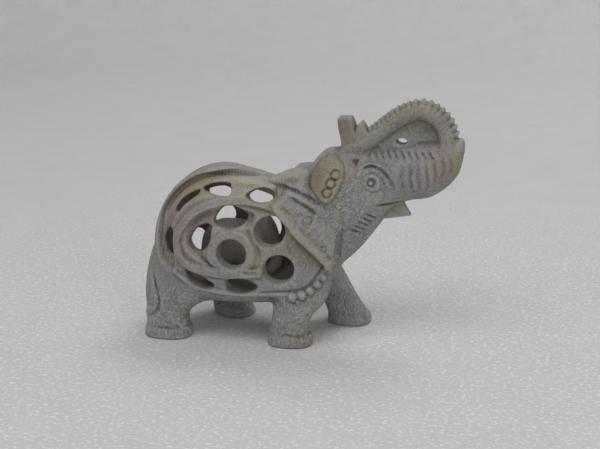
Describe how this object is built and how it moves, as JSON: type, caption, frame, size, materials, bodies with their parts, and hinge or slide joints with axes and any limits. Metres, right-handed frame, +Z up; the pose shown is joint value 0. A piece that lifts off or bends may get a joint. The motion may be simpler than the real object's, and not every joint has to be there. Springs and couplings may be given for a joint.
{
  "type": "elephant figurine",
  "caption": "Small carved stone elephant with its trunk raised in a loop, pierced flanks and a calf inside the hollow body.",
  "frame": {"origin": "on the ground, under the middle of the figurine's box", "axes": "+X towards the elephant's trunk, +Z up, so the right flank faces -Y"},
  "size_m": [0.098, 0.0412, 0.0759],
  "materials": {
    "stone": "matt, finely rasped, grey soapstone with olive and brown zones"
  },
  "bodies": {
    "root": {"elephant": "stone"}
  },
  "joints": []
}
